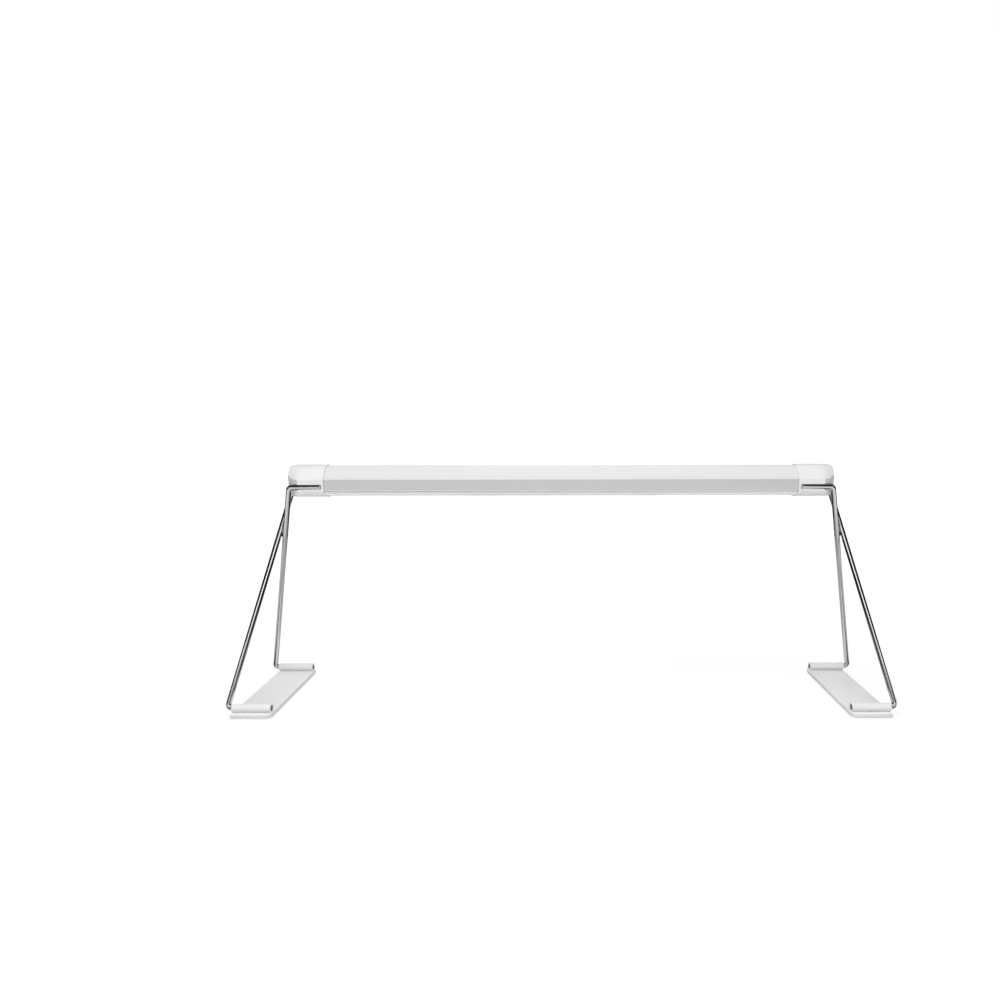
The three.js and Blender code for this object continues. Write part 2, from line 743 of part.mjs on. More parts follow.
// Half the control board's width, between the housing's walls
function controlHalf() {
  return bar_half_width - bar_wall - fit_gap;
}

function controlBoard() {
  const half = controlHalf();
  const top = controlTop();
  return geometryOf(
    box(control_start_x, control_start_x + control_length, -half, half, top - control_thickness, top));
}

function onControlBoard(along, y) {
  return new THREE.Vector3(control_start_x + along, y, controlTop() + fit_gap);
}

function boardPlace([along_share, side_share]) {
  return onControlBoard(along_share * control_length, side_share * controlHalf());
}

function uprightCan(place, diameter, height) {
  return geometryOf(roundBar(place, place.clone().setZ(place.z + height), diameter / 2));
}

function boardBlock({ x, y, z }, length, width, height) {
  return geometryOf(box(x - length / 2, x + length / 2, y - width / 2, y + width / 2, z, z + height));
}

function terminal(along) {
  return boardBlock(onControlBoard(along, 0), terminal_length, terminal_width, terminal_height);
}

const terminal_middle = terminal_margin + terminal_length / 2;

function supplyLead(way) {
  const y = way * socket_tab_spacing / 2;
  const z = controlTop() + lead_rise;
  const board_end = control_start_x + control_length - terminal_margin + fit_gap;
  const tab_end = cap_end_x + fit_gap - socket_body_length - socket_tab_length - fit_gap;
  const span = tab_end - board_end;
  const curve = new THREE.CatmullRomCurve3([
    new THREE.Vector3(board_end, y, z),
    new THREE.Vector3(board_end + span / 3, y, z + lead_sag / 2),
    new THREE.Vector3(tab_end - span / 3, y, socketHeight() - lead_sag),
    new THREE.Vector3(tab_end, y, socketHeight()),
  ]);
  return geometryOf(tubeAlong(curve, lead_diameter / 2, lead_sides, lead_steps));
}

function boardLead(way) {
  const y = way * socket_tab_spacing / 2;
  const z = controlTop() + lead_rise;
  const board_end = control_start_x + terminal_margin - fit_gap;
  const slot_middle = control_start_x - terminal_margin - lead_slot_length / 2;
  const solder_height = board_top_height + fit_gap;
  const curve = new THREE.CatmullRomCurve3([
    new THREE.Vector3(board_end, y, z),
    new THREE.Vector3(board_end - terminal_margin, y, z),
    new THREE.Vector3(slot_middle, y, web_top_height + lead_diameter),
    new THREE.Vector3(slot_middle, y, solder_height),
  ], false, 'catmullrom', lead_tension_share);
  return geometryOf(tubeAlong(curve, lead_diameter / 2, lead_sides, lead_steps));
}

// Assembly

function piece(name, geometry, material) {
  const mesh = new THREE.Mesh(geometry, material);
  mesh.name = name;
  return mesh;
}

const lamp = new THREE.Group();
lamp.add(
  piece('bar_housing', housing(), white_paint),
  piece('diffuser', lens(), opal_plastic),
  piece('led_strip', ledStrip(), board_white),
  piece('left_end_cap', mirroredX(endCap(false)), white_plastic),
  piece('right_end_cap', endCap(true), white_plastic),
  piece('supply_socket', socket(), nickel),
  piece('socket_nut', socketNut(), nickel),
  piece('control_board', controlBoard(), board_green),
  piece('filter_capacitor',
    uprightCan(boardPlace(capacitor_place_shares), capacitor_diameter, capacitor_height), dark_blue),
  piece('choke_coil', uprightCan(boardPlace(choke_place_shares), choke_diameter, choke_height), ferrite),
  piece('driver_chip',
    boardBlock(boardPlace(driver_place_shares), driver_length, driver_width, driver_height), black_plastic),
  piece('output_terminal', terminal(terminal_middle), grey_paint),
  piece('input_terminal', terminal(control_length - terminal_middle), grey_paint),
  piece('red_supply_lead', supplyLead(-1), red_insulation),
  piece('black_supply_lead', supplyLead(1), black_insulation),
  piece('red_board_lead', boardLead(-1), red_insulation),
  piece('black_board_lead', boardLead(1), black_insulation),
);

const stand = new THREE.Group();
stand.add(lamp);

for (const [side, placed] of [['left', mirroredX], ['right', (geometry) => geometry]]) {
  const legs = new THREE.Group();
  legs.add(
    piece(`${side}_inner_rod`, placed(bentRod(inner_top_x, -1)), chrome),
    piece(`${side}_outer_rod`, placed(bentRod(outer_top_x, 1)), chrome),
    piece(`${side}_pivot_pin`, placed(pivot()), black_plastic),
  );
  const base = new THREE.Group();
  base.add(piece(`${side}_foot`, placed(foot()), grey_paint));
  for (const [end, way] of [['front', -1], ['rear', 1]]) {
    const pad = geometryOf(padSolid(way, 0, 0, pad_thickness));
    base.add(piece(`${side}_${end}_pad`, placed(pad), grey_rubber));
  }
  stand.add(legs, base);
}

export default stand;
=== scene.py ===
import json
import math

import bmesh
import bpy
import numpy as np
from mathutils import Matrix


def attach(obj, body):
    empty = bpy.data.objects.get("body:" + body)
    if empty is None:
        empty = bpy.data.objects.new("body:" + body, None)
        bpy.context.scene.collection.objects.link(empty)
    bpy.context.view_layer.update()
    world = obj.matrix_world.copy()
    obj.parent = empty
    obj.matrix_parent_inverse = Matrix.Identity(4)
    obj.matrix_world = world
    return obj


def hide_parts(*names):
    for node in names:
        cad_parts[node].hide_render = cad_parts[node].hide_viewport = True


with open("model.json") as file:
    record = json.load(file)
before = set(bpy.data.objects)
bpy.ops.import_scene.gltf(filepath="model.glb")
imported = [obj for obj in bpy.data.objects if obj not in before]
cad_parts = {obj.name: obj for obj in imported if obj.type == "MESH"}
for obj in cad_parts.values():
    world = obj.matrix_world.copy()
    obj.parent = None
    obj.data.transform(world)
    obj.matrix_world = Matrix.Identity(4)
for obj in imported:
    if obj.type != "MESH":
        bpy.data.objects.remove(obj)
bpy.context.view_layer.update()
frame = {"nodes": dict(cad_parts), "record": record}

MM = 0.001
SIDES = (("left", -1), ("right", 1))

# Sizes of the stand, in millimetres, as its solids have them
ROD_RADIUS, BEND_RADIUS = 2.6, 4.0
ROD_START_X, ROD_END_X = 238.2, 295.4
INNER_TOP_X, OUTER_TOP_X, FOOT_CORNER_X = 269.762, 277.838, 328.7
CHANNEL_Y, CHANNEL_HEIGHT = 17.9, 222.35
CHANNEL_START_X, CHANNEL_RADIUS = 237.7, 2.9
CAP_END_X, CAP_HALF_WIDTH = 273.0, 19.6
CORNER_LENGTH, CORNER_DEPTH, CORNER_BOW = 12.2, 9.3, 0.35
CREASE_HEIGHT, CREASE_RISE = 229.9, 4.0
LIP_BOTTOM, LENS_TOP = 218.2, 217.9
TUBE_Y, TUBE_HEIGHT, TUBE_RADIUS, TUBE_BORE = 59.0, 8.8, 4.1, 2.9
PLATE_TOP = 4.9
STRIP_HALF, STRIP_FACE, CHIP_COUNT = 230.6, 220.7, 36
SOCKET_HEIGHT = 230.0

# What the scene adds to the solids, in millimetres
END_ROUND = 0.6
SNAP_RADIUS = 2.68
SOFT_BEFORE, SOFT_AFTER, SOFT_DEPTH, SOFT_POWER = 4, 5, 3.03, 2.12
CROWN_CUTS = (4.2, 2.8, 1.4)

# Points of a solid within this distance, in metres, are one point, and faces within this angle, in
# degrees, are one face
SAME_POINT, FLAT_ANGLE = 1e-6, 0.5

# How finely the rods are divided
ROD_SIDES, ARC_STEPS, END_STEPS = 40, 20, 7
STRAIGHT_SHARES = np.array([0.02, 0.1, 0.3, 0.5, 0.7, 0.9, 0.98])[:, None]


# Camera

CAMERA_PITCH, CAMERA_ROLL, CAMERA_TURN = 9.556, 0.09, -0.03

camera = bpy.data.objects.new("camera", bpy.data.cameras.new("camera"))
bpy.context.collection.objects.link(camera)
bpy.context.scene.camera = camera
camera.location = (-0.00037, -0.71149, 0.28333)
camera.rotation_euler = [math.radians(turn) for turn in (90 - CAMERA_PITCH, CAMERA_ROLL, CAMERA_TURN)]
camera.data.lens = 25.2
camera.data.sensor_width = 36
camera.data.shift_x = -0.061
camera.data.shift_y = 0.0424
camera.data.clip_start = 0.01
camera.data.clip_end = 100
bpy.context.scene.view_settings.view_transform = "Standard"


# Shader arithmetic

class Value:
    """A node's output. Python arithmetic on it adds the Math nodes."""

    def __init__(self, nodes, socket):
        self.nodes = nodes
        self.socket = socket

    def math(self, operation, *others):
        return self.nodes.node("Math", {"operation": operation}, [self, *others])

    def __add__(self, other):
        return self.math("ADD", other)

    def __sub__(self, other):
        return self.math("SUBTRACT", other)

    def __mul__(self, other):
        return self.math("MULTIPLY", other)

    def __truediv__(self, other):
        return self.math("DIVIDE", other)

    def __radd__(self, other):
        return self.math("ADD", other)

    def __rmul__(self, other):
        return self.math("MULTIPLY", other)

    def __rsub__(self, other):
        return self.nodes.node("Math", {"operation": "SUBTRACT"}, [other, self])

    def __abs__(self):
        return self.math("ABSOLUTE")

    def between(self, low, high, at_low=0, at_high=1):
        """at_low below low, at_high above high, and a smooth step from one to the other."""
        return self.nodes.node("MapRange", {"interpolation_type": "SMOOTHSTEP"},
                               [self, low, high, at_low, at_high])


class Nodes:
    """The node tree of a material or of the world."""

    MIX_FACTOR, MIX_COLOUR_A, MIX_COLOUR_B, MIX_COLOUR_OUT = 0, 6, 7, 2

    def __init__(self, tree):
        self.tree = tree

    def node(self, kind, settings=None, inputs=(), output=0):
        """Adds a node: its settings first, then the values or links of its sockets."""
        made = self.tree.nodes.new("ShaderNode" + kind)
        for key, value in (settings or {}).items():
            setattr(made, key, value)
        pairs = inputs.items() if isinstance(inputs, dict) else enumerate(inputs)
        for key, value in pairs:
            if isinstance(value, Value):
                self.tree.links.new(value.socket, made.inputs[key])
            else:
                made.inputs[key].default_value = value
        return Value(self, made.outputs[output] if len(made.outputs) else None)

    def place(self):
        """Object coordinates, in metres."""
        return self.node("TexCoord", output="Object")

    def axes(self, vector, letters):
        """The axes of a vector that the letters name, such as "XZ"."""
        split = self.node("SeparateXYZ", None, [vector]).socket.node
        return [Value(self, split.outputs[letter]) for letter in letters]

    def millimetres(self, place, letters):
        """The same, in millimetres."""
        return [axis / MM for axis in self.axes(place, letters)]

    def stretched(self, vector, *scales):
        return self.node("VectorMath", {"operation": "MULTIPLY"}, [vector, scales])

    def noise(self, vector, scale, detail=3, roughness=0.5):
        return self.node("TexNoise", None, {"Vector": vector, "Scale": scale, "Detail": detail,
                                            "Roughness": roughness})

    def mix(self, factor, colour_a, colour_b):
        """colour_a where the factor is 0 and colour_b where it is 1."""
        return self.node("Mix", {"data_type": "RGBA"}, {
            self.MIX_FACTOR: factor, self.MIX_COLOUR_A: colour_a, self.MIX_COLOUR_B: colour_b},
            output=self.MIX_COLOUR_OUT)

    def relief(self, height, depth, strength):
        """Normal of a surface whose height field has the given depth in millimetres."""
        return self.node("Bump", None, {"Strength": strength, "Distance": depth * MM, "Height": height})

    def rays(self, *kinds):
        """1 for rays of the given kinds, 0 for all others."""
        first, *others = [self.node("LightPath", output=kind) for kind in kinds]
        for other in others:
            first = first.math("MAXIMUM", other)
        return first


class Finish(Nodes):
    """A material made of one Principled shader. Constants are set on its sockets."""

    def __init__(self, name, **constants):
        self.material = bpy.data.materials.new(name)
        self.material.use_nodes = True
        super().__init__(self.material.node_tree)
        self.shader = self.tree.nodes["Principled BSDF"]
        for socket, value in constants.items():
            self.shader.inputs[socket.replace("_", " ")].default_value = value

    def feed(self, **links):
        """Links values to the shader's sockets and returns the material."""
        for socket, value in links.items():
            self.tree.links.new(value.socket, self.shader.inputs[socket.replace("_", " ")])
        return self.material


def grey(level, blue=0.0):
    return (level, level + blue / 2, level + blue, 1)


def from_axis(y, z, axis_y, axis_z):
    """Distance from the two lines along X at y = axis_y and y = -axis_y, both at z = axis_z."""
    off_y, off_z = abs(y) - axis_y, z - axis_z
    return (off_y * off_y + off_z * off_z).math("SQRT")


# Finishes

def white_coat():
    """Coated extrusion: white crown, lips painted lighter than the crown as a painted highlight, greyer
    satin sides, fine orange peel and faint die lines.
    """
    f = Finish("white_coat", Specular_IOR_Level=0.4)
    p = f.place()
    [z] = f.millimetres(p, "Z")
    die_lines = f.noise(f.stretched(p, 3, 900, 900), 1.0, 4, 0.6)
    peel = f.noise(p, 1100, 2)
    # Painted highlight: the extrusion's lips, below LIP_BOTTOM + 1 mm, are painted lighter (grey(0.93))
    # than the crown.
    lip_painted_light = 1 - z.between(LIP_BOTTOM + 0.9, LIP_BOTTOM + 1.2)
    side = (1 - lip_painted_light) * (1 - z.between(CREASE_HEIGHT - 0.35, CREASE_HEIGHT - 0.1))
    crown = f.mix(peel, grey(0.76), grey(0.80))
    flank = f.mix(die_lines, grey(0.57, 0.004), grey(0.64, 0.004))
    return f.feed(
        Base_Color=f.mix(side, f.mix(lip_painted_light, crown, grey(0.93)), flank),
        Roughness=0.36 + 0.1 * die_lines + 0.06 * side,
        Normal=f.relief(die_lines * 0.5 + peel, 0.02, 0.6))


def white_moulding():
    """Injection moulded gloss white, with slight flow marks, and handling scuffs in its gloss. The upper
    wall of the snap channels is painted dark and the cut corners greyer below their rising crease: both are
    painted shade."""
    f = Finish("white_moulding", Coat_Roughness=0.12)
    p = f.place()
    x, y, z = f.millimetres(p, "XYZ")
    flow = f.noise(f.stretched(p, 60, 200, 200), 1.0, 3)
    grain = f.noise(p, 2200, 2)
    scuff = f.noise(f.stretched(p, 400, 1600, 900), 1.0, 6, 0.7).between(0.52, 0.75)

    # Painted shade: the upper wall of each snap channel, over the rod, is painted dark grey (grey(0.25)).
    off_axis = from_axis(y, z, CHANNEL_Y, CHANNEL_HEIGHT)
    in_channel = 1 - off_axis.between(CHANNEL_RADIUS + 0.1, CHANNEL_RADIUS + 0.3)
    past_start = abs(x).between(CHANNEL_START_X - 0.1, CHANNEL_START_X + 0.1)
    upper_wall_painted_shade = in_channel * past_start * (z - CHANNEL_HEIGHT).between(0.5, 1.2)

    # Painted shade: the cut corners, below their rising crease and above the belly, are painted greyer
    # (grey(0.74)).
    past = abs(x) - (CAP_END_X - CORNER_LENGTH)
    s = (past / CORNER_LENGTH).math("MAXIMUM", 0)
    above_crease = (z - CREASE_HEIGHT - s * s * s * CREASE_RISE).between(-0.4, 0.2)
    above_belly = z.between(CHANNEL_HEIGHT - 5.5, CHANNEL_HEIGHT - 3.5)
    corner = past.between(-0.4, 1.2) * (1 - above_crease) * above_belly

    white = f.mix(flow, grey(0.86), grey(0.90, 0.003))
    return f.feed(
        Base_Color=f.mix(upper_wall_painted_shade, f.mix(corner, white, grey(0.74)), grey(0.25)),
        Roughness=0.26 + 0.08 * flow + 0.14 * scuff,
        Coat_Weight=0.6 - 0.3 * scuff,
        Normal=f.relief(grain + flow * 2, 0.012, 0.5))


def opal_plastic():
    """Extruded opal lens: milky, satin, with very fine draw lines, and a band of painted light half way up
    its sides.
    """
    f = Finish("opal_lens", Specular_IOR_Level=0.45, IOR=1.49)
    p = f.place()
    [z] = f.millimetres(p, "Z")
    draw = f.noise(f.stretched(p, 4, 1400, 1400), 1.0, 4, 0.6)
    cloud = f.noise(f.stretched(p, 30, 90, 90), 1.0, 2)
    # Painted light: a band half way up the lens's sides is painted lighter (grey(0.97)).
    half_way_painted_light = z.between(LENS_TOP - 5, LENS_TOP - 4.2) * (1 - z.between(LENS_TOP - 2.8, LENS_TOP - 1.4))
    milky = f.mix(cloud, grey(0.77, 0.008), grey(0.81, 0.008))
    return f.feed(
        Base_Color=f.mix(half_way_painted_light, milky, grey(0.97, 0.008)),
        Roughness=0.34 + 0.12 * draw,
        Normal=f.relief(draw, 0.01, 0.5))


def chrome():
    """Bright chrome on drawn wire: fine lines along the wire and a faint haze."""
    f = Finish("chrome_wire", Metallic=1.0)
    way = f.node("UVMap", {"uv_map": "along"})
    lines = f.noise(f.stretched(way, 260, 9, 1), 1.0, 3, 0.6)
    haze = f.noise(f.place(), 140, 3)
    return f.feed(
        Base_Color=f.mix(haze, grey(0.71, 0.006), grey(0.76, 0.006)),
        Roughness=0.055 + 0.05 * lines + 0.04 * haze,
        Normal=f.relief(lines, 0.004, 0.35))


def grey_coat():
    """Light grey powder coat with a fine, even grain. Painted shade makes the plate's edge and the lower
    half of the tubes greyer and the tubes' bores dark, and a painted highlight makes the plate's outer lips
    lighter."""
    f = Finish("grey_coat", Specular_IOR_Level=0.4)
    p = f.place()
    y, z = f.millimetres(p, "YZ")
    grain = f.noise(p, 1500, 3, 0.6)
    cloud = f.noise(p, 45, 2)
    # Painted shade: the tubes' bores are painted dark grey (grey(0.24)).
    bore_painted_shade = 1 - from_axis(y, z, TUBE_Y, TUBE_HEIGHT).between(TUBE_BORE - 0.1, TUBE_BORE + 0.2)
    # Painted shade: the plate's edge, below its top, is painted greyer (grey(0.78)).
    edge_painted_shade = 1 - z.between(PLATE_TOP - 0.8, PLATE_TOP - 0.4)
    # Painted highlight: the plate's outer lips, in front of the tubes, are painted lighter (grey(0.97)).
    lip_painted_light = abs(y).between(TUBE_Y + TUBE_RADIUS, TUBE_Y + TUBE_RADIUS + 0.6) * (1 - edge_painted_shade)
    # Painted shade: the lower half of the tubes is painted greyer (grey(0.78)), like the plate's edge.
    above_plate = z.between(PLATE_TOP + 0.3, PLATE_TOP + 0.6)
    lower_tube_painted_shade = above_plate * (1 - z.between(TUBE_HEIGHT - 1.8, TUBE_HEIGHT + 1.8))
    coat = f.mix(grain * 0.6 + cloud * 0.4, grey(0.86, 0.005), grey(0.91, 0.005))
    shaded = f.mix(edge_painted_shade.math("MAXIMUM", lower_tube_painted_shade), f.mix(lip_painted_light, coat, grey(0.97)), grey(0.78, 0.005))
    return f.feed(
        Base_Color=f.mix(bore_painted_shade, shaded, grey(0.24)),
        Roughness=0.38 + 0.14 * grain,
        Normal=f.relief(grain, 0.03, 0.55))


def black_plastic():
    """Black nylon with a moulded grain."""
    f = Finish("black_nylon")
    grain = f.noise(f.place(), 1800, 3)
    return f.feed(
        Base_Color=f.mix(grain, grey(0.012), grey(0.022)),
        Roughness=0.4 + 0.2 * grain,
        Normal=f.relief(grain, 0.02, 0.6))


def grey_rubber():
    """Soft grey rubber with ribs across it and a pale bloom in patches."""
    f = Finish("grey_rubber", Specular_IOR_Level=0.3)
    p = f.place()
    [x] = f.millimetres(p, "X")
    grain = f.noise(p, 1500, 4, 0.65)
    bloom = f.noise(p, 120, 3).between(0.45, 0.75)
    ribs = (x / 1.6).math("FRACT").math("PINGPONG", 0.5)
    return f.feed(
        Base_Color=f.mix(bloom, grey(0.40), grey(0.47)),
        Roughness=0.78 + 0.12 * grain,
        Normal=f.relief(grain * 0.15 + ribs, 0.2, 0.8))


def nickel():
    """Nickel plate with turning marks round the socket's axis."""
    f = Finish("nickel_plate", Metallic=1.0)
    centred = f.node("Mapping", None, [f.place(), (0, 0, -SOCKET_HEIGHT * MM)])
    turned = f.node("TexWave", {"wave_type": "RINGS", "rings_direction": "X"},
                    {"Vector": centred, "Scale": 900, "Distortion": 1.5})
    return f.feed(
        Base_Color=f.mix(turned, (0.52, 0.50, 0.46, 1), (0.6, 0.58, 0.54, 1)),
        Roughness=0.2 + 0.12 * turned,
        Normal=f.relief(turned, 0.006, 0.4))


def green_board():
    """Circuit board: green solder mask over a grid of tracks, with bare pads between them."""
    f = Finish("green_board")
    p = f.place()
    tracks = f.node("TexBrick", {"offset": 0.5}, {
        "Vector": f.stretched(p, 1, 1, 0), "Scale": 260, "Mortar Size": 0.09, "Mortar Smooth": 0.2,
        "Brick Width": 0.9, "Row Height": 0.42}, output="Fac")
    pads = f.node("TexVoronoi", None, {"Vector": p, "Scale": 210}).math("LESS_THAN", 0.16)
    mask = f.mix(tracks, (0.015, 0.10, 0.045, 1), (0.03875, 0.145, 0.07625, 1))
    return f.feed(
        Base_Color=f.mix(pads, mask, (0.6, 0.58, 0.54, 1)),
        Metallic=pads * 0.9,
        Roughness=0.42 - 0.14 * pads,
        Normal=f.relief(tracks + pads, 0.03, 0.5))


def led_board():
    """White board with one row of chips: each a pale body round a yellow phosphor disc."""
    f = Finish("led_board")
    p = f.place()
    x, y, z = f.millimetres(p, "XYZ")
    pitch = 2 * STRIP_HALF / CHIP_COUNT
    along = (x / pitch).math("FRACT") * pitch - 0.5 * pitch
    from_middle = (along * along + y * y).math("SQRT")
    below_face = 1 - z.between(STRIP_FACE - 0.05, STRIP_FACE + 0.05)
    phosphor = (1 - from_middle.between(1.05, 1.2)) * below_face
    weave = f.noise(p, 1600, 2)
    return f.feed(
        Base_Color=f.mix(phosphor, f.mix(weave, grey(0.78), grey(0.83)), (0.75, 0.52, 0.12, 1)),
        Roughness=0.5 - 0.15 * phosphor,
        Normal=f.relief(weave, 0.01, 0.4))


def plain_grained(name, colour, roughness, scale=1400):
    """Small moulded or sintered piece: its colour with a fine grain."""
    f = Finish(name)
    grain = f.noise(f.place(), scale, 4, 0.6)
    darker = [0.85 * part for part in colour]
    return f.feed(
        Base_Color=f.mix(grain, (*darker, 1), (*colour, 1)),
        Roughness=roughness - 0.08 + 0.16 * grain,
        Normal=f.relief(grain, 0.03, 0.5))


finishes = {
    "white_paint": white_coat(),
    "white_plastic": white_moulding(),
    "opal_plastic": opal_plastic(),
    "chrome": chrome(),
    "grey_paint": grey_coat(),
    "black_plastic": black_plastic(),
    "grey_rubber": grey_rubber(),
    "nickel": nickel(),
    "board_green": green_board(),
    "board_white": led_board(),
    "grey_plastic": plain_grained("grey_terminal", (0.42, 0.43, 0.44), 0.5),
    "dark_sleeve": plain_grained("blue_sleeve", (0.02, 0.035, 0.10), 0.35),
    "ferrite": plain_grained("ferrite", (0.06, 0.06, 0.062), 0.7, 900),
    "red_insulation": plain_grained("red_insulation", (0.42, 0.02, 0.015), 0.4),
    "black_insulation": plain_grained("black_insulation", (0.02, 0.02, 0.02), 0.4),
}
slot_of = {s["node"]: s["material_slot"] for s in frame["record"]["subparts"]}
body_of = {n: b for b, nodes in frame["record"]["behaviour"]["bodies"].items() for n in nodes}


# Pieces

def finished(mesh, name, node):
    """Puts a mesh into the scene as the piece that stands for a CAD node and rides on its body."""
    piece = bpy.data.objects.new(name, mesh)
    bpy.context.collection.objects.link(piece)
    mesh.materials.clear()
    mesh.materials.append(finishes[slot_of[node]])
    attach(piece, body_of[node])
    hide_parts(node)
    return piece


# Rods

def unit(vector):
    return vector / np.linalg.norm(vector)


def straight(a, b):
    """Stations on the line from a to b, closer together at its ends."""
    return a + (b - a) * STRAIGHT_SHARES


def bend(before, corner, after):
    """Arc that joins two straight arms: centre + arm * cos a + (axis x arm) * sin a."""
    back, ahead = unit(before - corner), unit(after - corner)
    opening = np.arccos(back @ ahead)
    centre = corner + unit(back + ahead) * BEND_RADIUS / np.sin(opening / 2)
    arm = corner + back * BEND_RADIUS / np.tan(opening / 2) - centre
    axis = unit(np.cross(back, ahead))
    a = -np.linspace(0, np.pi - opening, ARC_STEPS)[:, None]
    return centre + arm * np.cos(a) + np.cross(axis, arm) * np.sin(a)


def rod_path(corners):
    """Stations along three straight arms joined by arcs, and the radius at each. Both ends have a rounded
    edge_painted_shade: at END_ROUND * (1 - cos q) from the end, the radius is less by END_ROUND * (1 - sin q)."""
    q = np.linspace(0, np.pi / 2, END_STEPS)[:, None]
    inward = END_ROUND * (1 - np.cos(q))
    top_end = corners[0] - unit(corners[0] - corners[1]) * inward
    top_bend, foot_bend = bend(*corners[:3]), bend(*corners[1:])
    foot_end = corners[3] - unit(corners[3] - corners[2]) * inward[::-1]
    stations = np.concatenate([
        top_end, straight(top_end[-1], top_bend[0]),
        top_bend, straight(top_bend[-1], foot_bend[0]),
        foot_bend, straight(foot_bend[-1], foot_end[0]), foot_end])
    radii = np.full(len(stations), ROD_RADIUS)
    radii[:END_STEPS] = ROD_RADIUS - END_ROUND * (1 - np.sin(q[:, 0]))
    radii[-END_STEPS:] = radii[:END_STEPS][::-1]
    return stations, radii


def swept(stations, radii):
    """A round section carried along stations: point(i, a) = station i + radius i * (cos a * u + sin a * v),
    with u square to the way along and to the Y axis, and v square to both. The UV map holds |a / pi - 1|
    and ten times the length along in metres."""
    along = np.gradient(stations, axis=0)
    along /= np.linalg.norm(along, axis=1, keepdims=True)
    u = np.cross((0, 1, 0), along)
    u /= np.linalg.norm(u, axis=1, keepdims=True)
    v = np.cross(along, u)
    a = np.linspace(0, 2 * np.pi, ROD_SIDES, endpoint=False)
    ring = u[:, None, :] * np.cos(a)[None, :, None] + v[:, None, :] * np.sin(a)[None, :, None]
    points = stations[:, None, :] + radii[:, None, None] * ring
    run = np.concatenate([[0], np.cumsum(np.linalg.norm(np.diff(stations, axis=0), axis=1))])
    uv = np.stack(np.broadcast_arrays(np.abs(a / np.pi - 1)[None, :], (10 * run * MM)[:, None]), -1)
    return points.reshape(-1, 3), uv.reshape(-1, 2)


def tube_faces(rings, sides):
    """Quads between neighbouring rings of points, and a polygon over each end."""
    i, j = np.meshgrid(np.arange(rings - 1), np.arange(sides), indexing="ij")
    k = (j + 1) % sides
    quads = np.stack([i * sides + j, i * sides + k, (i + 1) * sides + k, (i + 1) * sides + j], -1)
    last = (rings - 1) * sides
    ends = [list(range(sides - 1, -1, -1)), list(range(last, last + sides))]
    return quads.reshape(-1, 4).tolist() + ends


def bent_rod(name, sign, top_x, way):
    """Chrome wire leg: a round section along the bent path from its cap channel to its foot tube. way is
    the sign of its channel's Y. The left rods are the right ones with X and the faces turned round."""
    corners = np.array([
        [ROD_START_X, way * CHANNEL_Y, CHANNEL_HEIGHT], [top_x, way * CHANNEL_Y, CHANNEL_HEIGHT],
        [FOOT_CORNER_X, -way * TUBE_Y, TUBE_HEIGHT], [ROD_END_X, -way * TUBE_Y, TUBE_HEIGHT]])
    stations, radii = rod_path(corners)
    points, uv = swept(stations, radii)
    faces = [face[::sign] for face in tube_faces(len(stations), ROD_SIDES)]
    mesh = bpy.data.meshes.new(name)
    mesh.from_pydata((points * (sign * MM, MM, MM)).tolist(), [], faces)
    layer = mesh.uv_layers.new(name="along")
    corner = np.zeros(len(mesh.loops), np.int32)
    mesh.loops.foreach_get("vertex_index", corner)
    layer.data.foreach_set("uv", uv.astype(np.float32)[corner].ravel())
    mesh.validate()
    mesh.shade_smooth()
    return mesh


for side, sign in SIDES:
    for place, top_x, way in (("inner", INNER_TOP_X, -1), ("outer", OUTER_TOP_X, 1)):
        rod = f"{side}_{place}_rod"
        finished(bent_rod(rod, sign, top_x, way), f"{side}_{place}_wire", rod)


# Copies of the solids with rounded edges

def soft_cap(mesh):
    """Cap crown: its narrowing starts softly. Where the solid is drawn in by drawn, a point of the crown
    moves on to soft: y loses the share (soft - drawn) / (half width - drawn). s runs from 0 to 1 over the
    cut corner, and drawn = CORNER_DEPTH s (1 - CORNER_BOW + CORNER_BOW s). t runs from 0 at SOFT_BEFORE
    before the corner's start to 1 at SOFT_AFTER past it, and soft = SOFT_DEPTH t ** SOFT_POWER.
    Snap channels: up to the start of the notches their lower half closes in on the rod, to
    z = -sqrt(SNAP_RADIUS ** 2 - y ** 2) from the channel's axis."""
    points = np.empty(len(mesh.vertices) * 3, np.float32)
    mesh.vertices.foreach_get("co", points)
    x, y, z = (points.reshape(-1, 3) / MM).T
    past = np.abs(x) - (CAP_END_X - CORNER_LENGTH)
    s = np.clip(past / CORNER_LENGTH, 0, 1)
    drawn = CORNER_DEPTH * s * (1 - CORNER_BOW + CORNER_BOW * s)
    t = np.clip((past + SOFT_BEFORE) / (SOFT_BEFORE + SOFT_AFTER), 0, 1)
    soft = np.where(past < SOFT_AFTER, SOFT_DEPTH * t ** SOFT_POWER, drawn)
    crown = np.clip((z - CREASE_HEIGHT - CREASE_RISE * s ** 3 - 0.3) / 3.5, 0, 1)
    y = y * (1 - crown * (soft - drawn) / (CAP_HALF_WIDTH - drawn))
    off_y, off_z = np.abs(y) - CHANNEL_Y, z - CHANNEL_HEIGHT
    on_wall = np.abs(np.hypot(off_y, off_z) - CHANNEL_RADIUS) < 0.04
    closed = CHANNEL_HEIGHT - np.sqrt(np.clip(SNAP_RADIUS ** 2 - off_y ** 2, 0, None))
    z = np.where(on_wall & (off_z < -1) & (past < -1), closed, z)
    mesh.vertices.foreach_set("co", (np.stack([x, y, z], -1) * MM).astype(np.float32).ravel())
    mesh.update()


